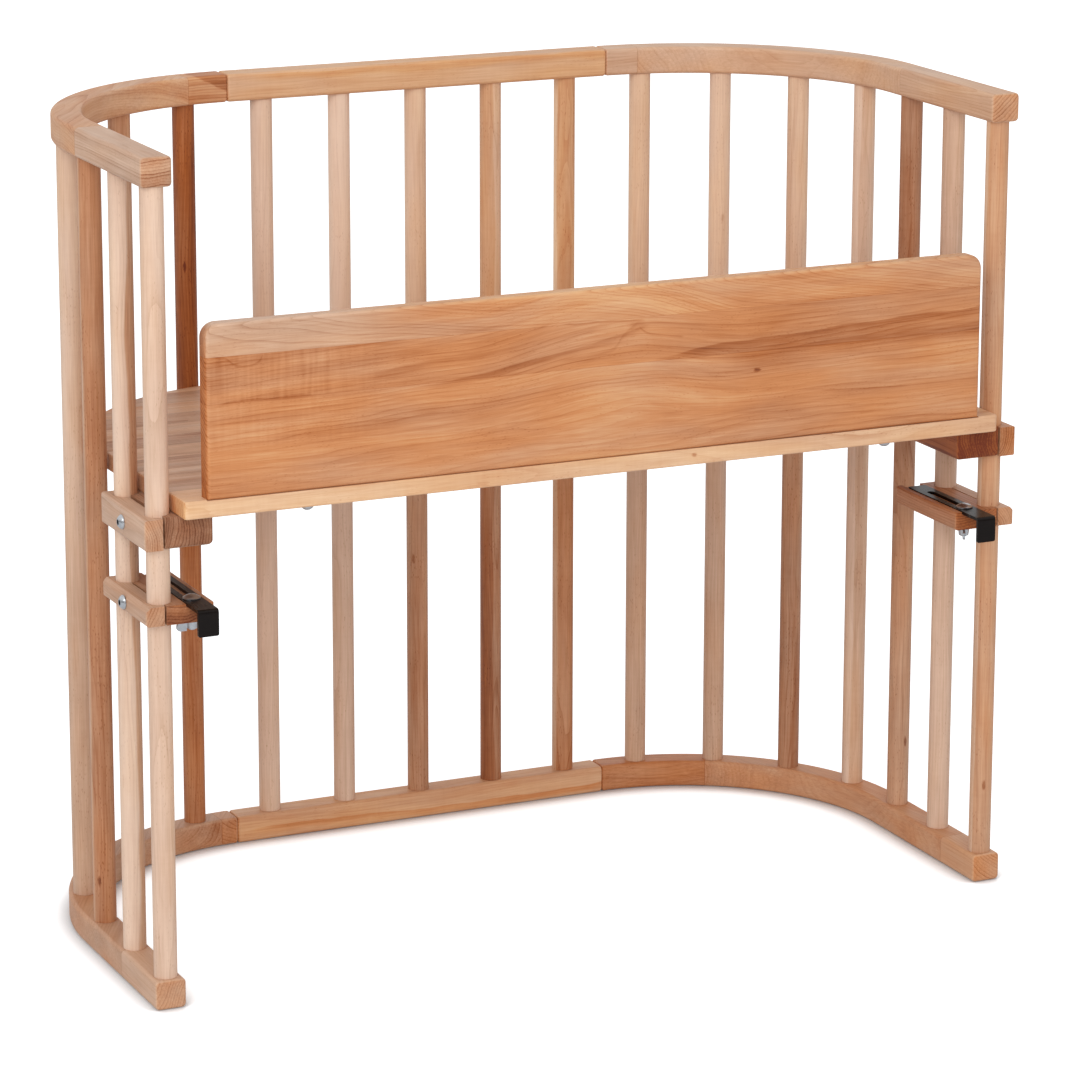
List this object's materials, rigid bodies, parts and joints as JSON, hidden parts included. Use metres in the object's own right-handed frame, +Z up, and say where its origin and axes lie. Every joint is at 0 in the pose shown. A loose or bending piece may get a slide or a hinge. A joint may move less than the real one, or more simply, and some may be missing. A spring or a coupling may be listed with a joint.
{
  "type": "bedside sleeper crib",
  "caption": "Bedside sleeper crib of oiled beech: open-front rounded hoops on round spindles, a clamped height-adjustable platform with front board, and slotted hooks that hold it to a bed.",
  "frame": {"origin": "centre of the whole cot's bounding box in plan, on the floor", "axes": "+X along the long side to the right seen from the open front, +Y from the open front to the rounded back, +Z up"},
  "size_m": [0.916, 0.492, 0.8],
  "materials": {
    "rail_beech": "oiled solid beech, glued from bent-line segments, satin",
    "spindle_beech": "oiled turned beech, satin",
    "panel_beech": "oiled glued beech staves, satin",
    "clamp_beech": "oiled solid beech, satin",
    "dowel_beech": "raw beech dowel",
    "black_steel": "gloss black coated steel strip",
    "zinc_steel": "bright zinc plated steel"
  },
  "bodies": {
    "frame": {"bottom_rail_centre": "rail_beech", "bottom_rail_left": "rail_beech", "bottom_rail_right": "rail_beech", "rail_barrel_nuts": "zinc_steel", "rail_bolts": "zinc_steel", "rail_dowels": "dowel_beech", "rail_washers": "zinc_steel", "spindle_back_1": "spindle_beech", "spindle_back_2": "spindle_beech", "spindle_back_3": "spindle_beech", "spindle_back_4": "spindle_beech", "spindle_back_5": "spindle_beech", "spindle_left_1": "spindle_beech", "spindle_left_2": "spindle_beech", "spindle_left_3": "spindle_beech", "spindle_left_4": "spindle_beech", "spindle_left_5": "spindle_beech", "spindle_left_6": "spindle_beech", "spindle_left_7": "spindle_beech", "spindle_right_1": "spindle_beech", "spindle_right_2": "spindle_beech", "spindle_right_3": "spindle_beech", "spindle_right_4": "spindle_beech", "spindle_right_5": "spindle_beech", "spindle_right_6": "spindle_beech", "spindle_right_7": "spindle_beech", "top_rail_centre": "rail_beech", "top_rail_left": "rail_beech", "top_rail_right": "rail_beech"},
    "platform": {"bearer_screws": "zinc_steel", "board_dowels": "dowel_beech", "board_screws": "zinc_steel", "front_board": "panel_beech", "platform_bar_back": "clamp_beech", "platform_bar_left": "clamp_beech", "platform_bar_right": "clamp_beech", "platform_bearer_back": "clamp_beech", "platform_bearer_left": "clamp_beech", "platform_bearer_right": "clamp_beech", "platform_clamp_bolts": "zinc_steel", "platform_panel": "panel_beech", "platform_sleeves": "zinc_steel"},
    "left_bed_clamp": {"left_bed_bar": "clamp_beech", "left_bed_block": "clamp_beech", "left_bed_clamp_bolt": "zinc_steel", "left_bed_sleeve": "zinc_steel", "left_hook_bolt": "zinc_steel", "left_hook_washer": "zinc_steel"},
    "right_bed_clamp": {"right_bed_bar": "clamp_beech", "right_bed_block": "clamp_beech", "right_bed_clamp_bolt": "zinc_steel", "right_bed_sleeve": "zinc_steel", "right_hook_bolt": "zinc_steel", "right_hook_washer": "zinc_steel"},
    "left_hook_slide": {"left_hook": "black_steel"},
    "right_hook_slide": {"right_hook": "black_steel"},
    "left_nut": {"left_wing_nut": "zinc_steel"},
    "right_nut": {"right_wing_nut": "zinc_steel"}
  },
  "joints": [
    {"name": "platform_height", "type": "slide", "parent": "frame", "child": "platform", "axis": [0, 0, 1], "range_m": [-0.02, 0.25]},
    {"name": "left_clamp_height", "type": "slide", "parent": "frame", "child": "left_bed_clamp", "axis": [0, 0, 1], "range_m": [-0.3, 0.02]},
    {"name": "left_hook_reach", "type": "slide", "parent": "left_bed_clamp", "child": "left_hook_slide", "axis": [0, -1, 0], "range_m": [0, 0.062]},
    {"name": "left_wing_nut_turn", "type": "hinge", "parent": "left_bed_clamp", "child": "left_nut", "pos_m": [-0.405, -0.202, 0.3645], "axis": [0, 0, 1], "range_deg": [-360, 0]},
    {"name": "right_clamp_height", "type": "slide", "parent": "frame", "child": "right_bed_clamp", "axis": [0, 0, 1], "range_m": [-0.3, 0.02]},
    {"name": "right_hook_reach", "type": "slide", "parent": "right_bed_clamp", "child": "right_hook_slide", "axis": [0, -1, 0], "range_m": [0, 0.062]},
    {"name": "right_wing_nut_turn", "type": "hinge", "parent": "right_bed_clamp", "child": "right_nut", "pos_m": [0.405, -0.202, 0.3645], "axis": [0, 0, 1], "range_deg": [-360, 0]}
  ]
}
